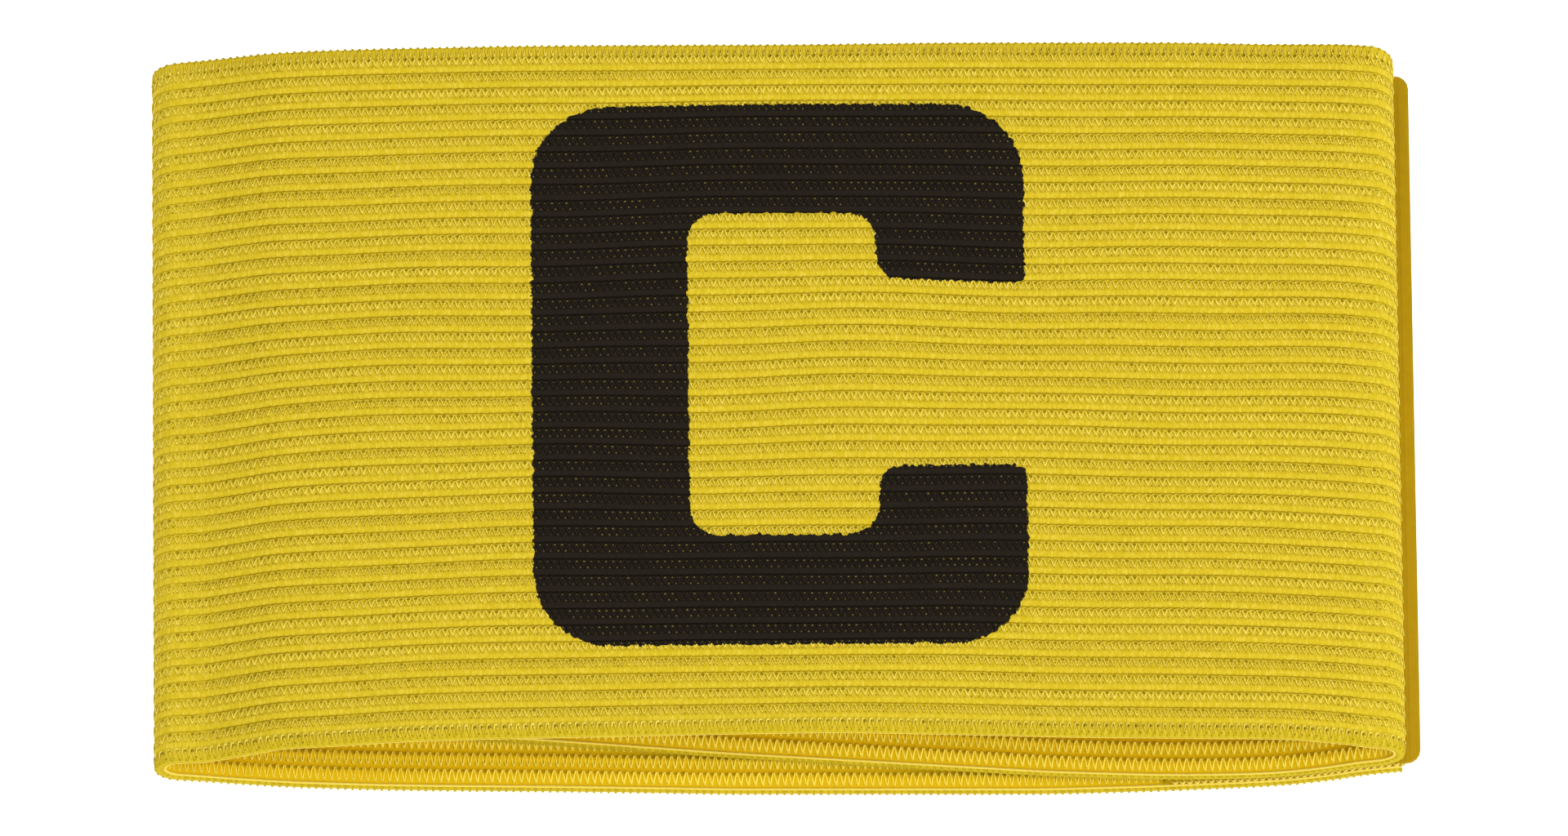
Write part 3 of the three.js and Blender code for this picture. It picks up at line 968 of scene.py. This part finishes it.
# How much of each tone is mixed in
STRAND_SHARE = 0.8
LEAST_GLINT = 0.45
PATCH_SHARE = 0.25
PALE_FLECK_SHARE = 0.22
DARK_FLECK_SHARE = 0.5
EDGE_SHARE = 0.4
HOLE_SHARE = 0.85
INNER_HOLE_SHARE = 0.45
INKED_HOLE_SIZE = 0.62  # share of the holes' own size, where ink fills them

# Where the holes lie, as shares of a stitch and of a rib from its far groove, and their radius
UPPER_HOLES = (0.125, 0.1, 0.19 * MM)
LOWER_HOLES = (0.625, 0.49, 0.13 * MM)
INNER_HOLES = (0.125, 0.62, 0.3 * MM)
HOLE_EDGE = 0.04 * MM
SMALLEST_HOLE = 0.35  # share of the radius
HOLE_SPREAD = 0.7  # how much more of it the largest has

# Heights that part the outer face from the wall, and the wall from the inner face
OUTER_FACE = -0.6 * MM
INNER_FACE = -0.95 * MM
# The painted highlight comes in over this reach
CREST_REACH = 0.07 * MM  # below and above the ribs' crests, over which yarn brightens
DARK_EDGE = (0.45 * MM, 0.3 * MM)  # insets from the strap's edge, over which it darkens
INK_EDGE = 0.03 * MM

# Strength and depth of fine relief
YARN_RELIEF = (0.35, 0.03 * MM)
TAPE_RELIEF = (0.5, 0.06 * MM)


def shader_parts(name, **values):
    """A material, its node tree and its shader, with plain values on the shader's own sockets."""
    material = bpy.data.materials.new(name)
    material.use_nodes = True
    tree = material.node_tree
    shader = tree.nodes["Principled BSDF"]
    for socket, value in values.items():
        shader.inputs[socket.replace("_", " ")].default_value = value
    return material, tree, shader


def attribute(tree, name, output):
    return put(tree, "ShaderNodeAttribute", attribute_name=name).outputs[output]


def mixed(tree, share, first, second):
    """The colour between two, by a share."""
    colors = {"Factor": share, 6: first, 7: second}
    return put(tree, "ShaderNodeMix", colors, data_type="RGBA").outputs[2]


def noise(tree, at, kind):
    """Smooth noise at a place, as a number around a half."""
    scale, detail = kind
    inputs = {"Vector": at, "Scale": scale, "Detail": detail}
    return put(tree, "ShaderNodeTexNoise", inputs).outputs["Fac"]


def ramp(tree, value, start, end, top=1.0, bottom=0.0):
    """A number that goes from bottom to top while a value goes from start to end."""
    inputs = {
        "Value": value,
        "From Min": start,
        "From Max": end,
        "To Min": bottom,
        "To Max": top,
    }
    return put(tree, "ShaderNodeMapRange", inputs).outputs[0]


def add_relief(tree, shader, height, relief):
    strength, depth = relief
    inputs = {"Strength": strength, "Distance": depth, "Height": height}
    bump = put(tree, "ShaderNodeBump", inputs)
    tree.links.new(bump.outputs[0], shader.inputs["Normal"])


def holes_between(tree, stitch, rib, holes, share):
    """Small round holes between the turns of the zigzags, for painted shade: 1 inside them."""
    at_stitch, at_rib, radius = holes
    numbers, offsets = [], []
    for value, centre, pitch in ((stitch, at_stitch, STITCH_PITCH), (rib, at_rib, RIB_PITCH)):
        shifted = maths(tree, "ADD", value, 0.5 - centre)
        number = maths(tree, "FLOOR", shifted)
        beside = maths(tree, "SUBTRACT", maths(tree, "SUBTRACT", shifted, number), 0.5)
        numbers.append(number)
        offsets.append(maths(tree, "MULTIPLY", beside, pitch))
    away = put(
        tree, "ShaderNodeVectorMath", {0: vector(tree, *offsets)}, operation="LENGTH"
    ).outputs["Value"]
    chance = put(tree, "ShaderNodeTexWhiteNoise", {"Vector": vector(tree, *numbers)})
    spread = maths(tree, "MULTIPLY", chance.outputs["Value"], HOLE_SPREAD)
    uneven = maths(tree, "ADD", spread, SMALLEST_HOLE)
    own_radius = maths(tree, "MULTIPLY", maths(tree, "MULTIPLY", uneven, share), radius)
    return ramp(tree, maths(tree, "SUBTRACT", own_radius, away), 0.0, HOLE_EDGE)


def stitch_holes_group():
    """Holes of the knit, painted dark as shade: above and below each row of the front's zigzags,
    and inside the loop.
    """
    tree, given, result = new_tree(
        "stitch holes",
        "ShaderNodeTree",
        {"Strap Place": "Vector", "Share": "Float"},
        {"Holes": "Float"},
    )
    flat = put(tree, "ShaderNodeSeparateXYZ", {0: given["Strap Place"]}).outputs
    stitch = maths(tree, "DIVIDE", maths(tree, "SUBTRACT", flat["X"], YARN_FROM), STITCH_PITCH)
    rib = maths(tree, "DIVIDE", maths(tree, "SUBTRACT", -FIRST_GROOVE, flat["Y"]), RIB_PITCH)
    above = holes_between(tree, stitch, rib, UPPER_HOLES, given["Share"])
    below = holes_between(tree, stitch, rib, LOWER_HOLES, given["Share"])
    inner_stitch = maths(
        tree, "DIVIDE", maths(tree, "SUBTRACT", flat["X"], STRAP_FROM), STITCH_PITCH
    )
    pits = holes_between(tree, inner_stitch, rib, INNER_HOLES, given["Share"])
    inside = maths(tree, "MULTIPLY", pits, INNER_HOLE_SHARE)
    outer = maths(tree, "GREATER_THAN", flat["Z"], OUTER_FACE)
    both = maths(tree, "MAXIMUM", above, below)
    switch = put(tree, "ShaderNodeMix", {"Factor": outer, "A": inside, "B": both})
    tree.links.new(switch.outputs[0], result["Holes"])
    return tree


def knit_tone_group():
    """Colour and fine relief of dyed yarn: painted shade in the knit's pits, holes and between its
    strands, painted highlights on its crests, uneven from stitch to stitch and along its fibres."""
    tree, given, result = new_tree(
        "knit tone",
        "ShaderNodeTree",
        {"Strap Place": "Vector"}
        | {name: "Color" for name in TONE_COLORS}
        | {"Hole Share": "Float", "Pit Depth": "Float", "Pit Rise": "Float"},
        {"Color": "Color", "Height": "Float"},
    )
    at = given["Strap Place"]
    flat = put(tree, "ShaderNodeSeparateXYZ", {0: at}).outputs
    height = flat["Z"]
    # Painted shade: below the ribs' crests the colour goes towards the Pit colour, by the height
    above_pits = maths(tree, "ADD", height, given["Pit Depth"])
    lit = put(
        tree, "ShaderNodeClamp", {"Value": maths(tree, "DIVIDE", above_pits, given["Pit Rise"])}
    )
    coloured = mixed(tree, lit.outputs[0], given["Pit"], given["Yarn"])

    # Painted shade between the strands: faint darker lines towards the Pit colour, twice a stitch
    strand_count = maths(tree, "DIVIDE", flat["X"], STITCH_PITCH / 2)
    strands = maths(tree, "PINGPONG", strand_count, 0.5)
    lined = mixed(tree, maths(tree, "MULTIPLY", strands, STRAND_SHARE), coloured, given["Pit"])

    # Painted highlight: near the ribs' crests, by the height, the colour goes towards the
    # Highlight colour, more at some stitches than others
    crest = ramp(tree, height, -CREST_REACH, CREST_REACH)
    glint = ramp(tree, noise(tree, at, STITCH_NOISE), *GLINTS, bottom=LEAST_GLINT)
    bright = maths(tree, "MULTIPLY", crest, glint)
    glinting = mixed(tree, bright, lined, given["Highlight"])

    across = maths(tree, "MULTIPLY", flat["Y"], FLECK_SQUEEZE)
    flecks = noise(tree, vector(tree, flat["X"], across, height), FLECKS)
    pale_fleck = ramp(tree, flecks, *PALE_FLECKS, top=PALE_FLECK_SHARE)
    dark_fleck = ramp(tree, flecks, *DARK_FLECKS, top=DARK_FLECK_SHARE)
    paled = mixed(tree, pale_fleck, glinting, given["Highlight"])
    flecked = mixed(tree, dark_fleck, paled, given["Pit"])

    patches = maths(tree, "MULTIPLY", noise(tree, at, PATCHES), PATCH_SHARE)
    uneven = mixed(tree, patches, flecked, given["Pit"])

    from_middle = maths(tree, "ABSOLUTE", flat["Y"])
    lines = (HALF_WIDTH - inset for inset in DARK_EDGE)
    edge = ramp(tree, from_middle, *lines, top=EDGE_SHARE)
    edged = mixed(tree, edge, uneven, given["Pit"])
    # Below the inner face the colour becomes the Inside colour, which carries painted shade and
    # bounced light on the strap and a painted highlight on the inner zigzags
    inside = maths(tree, "LESS_THAN", height, INNER_FACE)
    both_sides = mixed(tree, inside, edged, given["Inside"])

    # Painted shade in the knit's holes: round spots of the Hole colour between the stitches
    holes = put(
        tree,
        "ShaderNodeGroup",
        {"Strap Place": at, "Share": given["Hole Share"]},
        node_tree=stitch_holes_group(),
    )
    pierced = maths(tree, "MULTIPLY", holes.outputs["Holes"], HOLE_SHARE)
    tree.links.new(mixed(tree, pierced, both_sides, given["Hole"]), result["Color"])
    tree.links.new(noise(tree, at, FIBRES), result["Height"])
    return tree


def ink_cover_group():
    """Where ink lies on the knit, with a slightly frayed edge."""
    tree, given, result = new_tree(
        "ink cover",
        "ShaderNodeTree",
        {"Strap Place": "Vector", "Letter Depth": "Float", "Fraying": "Float"},
        {"Cover": "Float"},
    )
    wander = maths(tree, "SUBTRACT", noise(tree, given["Strap Place"], FRAYED_EDGE), 0.5)
    frayed = maths(tree, "MULTIPLY", wander, given["Fraying"])
    depth = maths(tree, "ADD", given["Letter Depth"], frayed)
    tree.links.new(ramp(tree, depth, -INK_EDGE, INK_EDGE), result["Cover"])
    return tree


def knit_material(name, groups, tones, pits, under_ink=None):
    """Matt dyed yarn with painted shade and painted highlights, which the letter's ink covers
    where it lies inside the letter.
    """
    material, tree, shader = shader_parts(name, Roughness=0.8, Specular_IOR_Level=0.08)
    strap = attribute(tree, "strap", "Vector")
    tone, cover = groups
    sizes = {"Strap Place": strap, "Pit Depth": pits[0], "Pit Rise": pits[1]}
    own = sizes | dict(zip(TONE_COLORS, tones)) | {"Hole Share": 1.0}
    coloured = put(tree, "ShaderNodeGroup", own, node_tree=tone)
    color = coloured.outputs["Color"]
    if under_ink:
        inked = sizes | dict(zip(TONE_COLORS, under_ink)) | {"Hole Share": INKED_HOLE_SIZE}
        soaked = put(tree, "ShaderNodeGroup", inked, node_tree=tone)
        depth = attribute(tree, "letter_depth", "Fac")
        edge = {"Strap Place": strap, "Letter Depth": depth, "Fraying": FRAYING}
        covered = put(tree, "ShaderNodeGroup", edge, node_tree=cover)
        color = mixed(tree, covered.outputs["Cover"], color, soaked.outputs["Color"])
    tree.links.new(color, shader.inputs["Base Color"])
    add_relief(tree, shader, coloured.outputs["Height"], YARN_RELIEF)
    return material


def tape_material():
    """Woven nylon tape: fine cross threads in relief."""
    material, tree, shader = shader_parts("hook_tape_look", Roughness=0.6, Specular_IOR_Level=0.06)
    strap = attribute(tree, "strap", "Vector")
    color = mixed(tree, noise(tree, strap, TAPE_MOTTLE), TAPE_OCHRE, TAPE_PALE)
    tree.links.new(color, shader.inputs["Base Color"])
    scale, distortion = TAPE_WEAVE
    threads = {"Vector": strap, "Scale": scale, "Distortion": distortion}
    weave = put(tree, "ShaderNodeTexWave", threads)
    add_relief(tree, shader, weave.outputs["Fac"], TAPE_RELIEF)
    return material


def floor_material():
    material, tree, shader = shader_parts("pale_floor", Roughness=0.8, Specular_IOR_Level=0.1)
    scale, detail = FLOOR_GRAIN
    grain = put(tree, "ShaderNodeTexNoise", {"Scale": scale, "Detail": detail})
    color = mixed(tree, grain.outputs["Fac"], FLOOR_GREY, FLOOR_PALE)
    tree.links.new(color, shader.inputs["Base Color"])
    shader.inputs["Emission Color"].default_value = WHITE
    shader.inputs["Emission Strength"].default_value = FLOOR_GLOW
    return material


# Putting the armband together


def build_armband():
    groups = knit_tone_group(), ink_cover_group()
    yarn = knit_material("elastic_yarn", groups, FRONT_TONES, YARN_PITS, INKED_TONES)
    ground = knit_material("elastic_ground", groups, FRONT_TONES, GROUND_PITS, INKED_TONES)
    inner = knit_material("elastic_inner_yarn", groups, INNER_TONES, NO_PITS)
    pale = knit_material("elastic_edge_yarn", groups, CORD_TONES, NO_PITS)
    ink = knit_material("print_ink_look", groups, FRONT_TONES, INK_PITS, INKED_TONES)
    strap = mark_letter(elastic_strap(ground))
    stencil = letter_stencil()
    pad_profile = profile_object("pad_profile", PAD_SECTION)
    cord_profile = profile_object("cord_profile", CORD_SECTION)
    zigzags, beads = zigzag_rows_tree(), beaded_rows_tree()
    last_far_rib = rib_line(INNER_ROWS - 1, FAR_INNER_LINE)
    last_near_rib = rib_line(RIB_COUNT - 1, NEAR_INNER_LINE)
    yarns = [
        front_zigzags("front_zigzags", zigzags, stencil, False, yarn),
        front_pads("front_rib_pads", beads, pad_profile, stencil, False, yarn),
        under_zigzags("under_zigzags", zigzags, yarn),
        inner_zigzags("inner_zigzags_far", zigzags, last_far_rib, inner),
        inner_zigzags("inner_zigzags_near", zigzags, last_near_rib, inner),
        selvedge_cords("selvedge_cords", beads, cord_profile, pale),
        edge_wraps("near_edge_wraps", zigzags, -1, yarn),
        edge_wraps("far_edge_wraps", zigzags, 1, yarn),
        tape_seams("tape_seams", zigzags, pale),
    ]
    letter = [
        front_zigzags("letter_zigzags", zigzags, stencil, True, ink),
        front_pads("letter_rib_pads", beads, pad_profile, stencil, True, ink),
    ]
    tape = hook_tape(tape_material())
    for helper in (stencil, pad_profile, cord_profile):
        bpy.data.objects.remove(helper)
    for piece in (strap, tape, *yarns, *letter):
        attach(piece, "root")
    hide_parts("elastic_band")
    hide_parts("letter_print")
    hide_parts("hook_tape")


# Floor, light and camera

FLOOR_LEVEL = -0.02 * MM
FLOOR_CORNERS = ((-2, -2, 0), (2, -2, 0), (2, 2, 0), (-2, 2, 0))
WORLD_GLOW = 0.8

CAMERA_AZIMUTH = -3.3
CAMERA_ELEVATION = 65
CAMERA_ROLL = 3.0
CAMERA_DISTANCE = 3.5
CAMERA_TARGET = (0.8 * MM, 0.0, 7.5 * MM)
FRAME_WIDTH = 154.5 * MM


def studio():
    floor = mesh_piece("floor", FLOOR_CORNERS, [(0, 1, 2, 3)], floor_material())
    floor.location.z = FLOOR_LEVEL
    world = bpy.data.worlds.new("studio")
    world.use_nodes = True
    background = world.node_tree.nodes["Background"]
    background.inputs["Color"].default_value = WHITE
    background.inputs["Strength"].default_value = WORLD_GLOW
    bpy.context.scene.world = world
    area_light("key", (0.65, -0.68, 1.16), size=1.4, power=15)
    area_light("back", (-0.2, 0.9, 1.1), size=1.0, power=4)


def area_light(name, location, size, power):
    """A soft light that faces the armband."""
    light = bpy.data.lights.new(name, "AREA")
    light.size = size
    light.energy = power
    lamp = bpy.data.objects.new(name, light)
    lamp.location = location
    lamp.rotation_euler = (-Vector(location)).to_track_quat("-Z", "Y").to_euler()
    bpy.context.scene.collection.objects.link(lamp)


def camera():
    lens = bpy.data.cameras.new("camera")
    lens.sensor_width = 36
    lens.lens = lens.sensor_width * CAMERA_DISTANCE / FRAME_WIDTH
    view = bpy.data.objects.new("camera", lens)
    azimuth, elevation = math.radians(CAMERA_AZIMUTH), math.radians(CAMERA_ELEVATION)
    level = Vector((math.sin(azimuth), -math.cos(azimuth), 0)) * math.cos(elevation)
    away = level + Vector((0, 0, math.sin(elevation)))
    view.location = Vector(CAMERA_TARGET) + away * CAMERA_DISTANCE
    turn = away.to_track_quat("Z", "Y").to_matrix().to_4x4()
    roll = Matrix.Rotation(math.radians(CAMERA_ROLL), 4, "Z")
    view.rotation_euler = (turn @ roll).to_euler()
    bpy.context.scene.collection.objects.link(view)
    bpy.context.scene.camera = view


bpy.context.scene.view_settings.view_transform = "Standard"
build_armband()
studio()
camera()
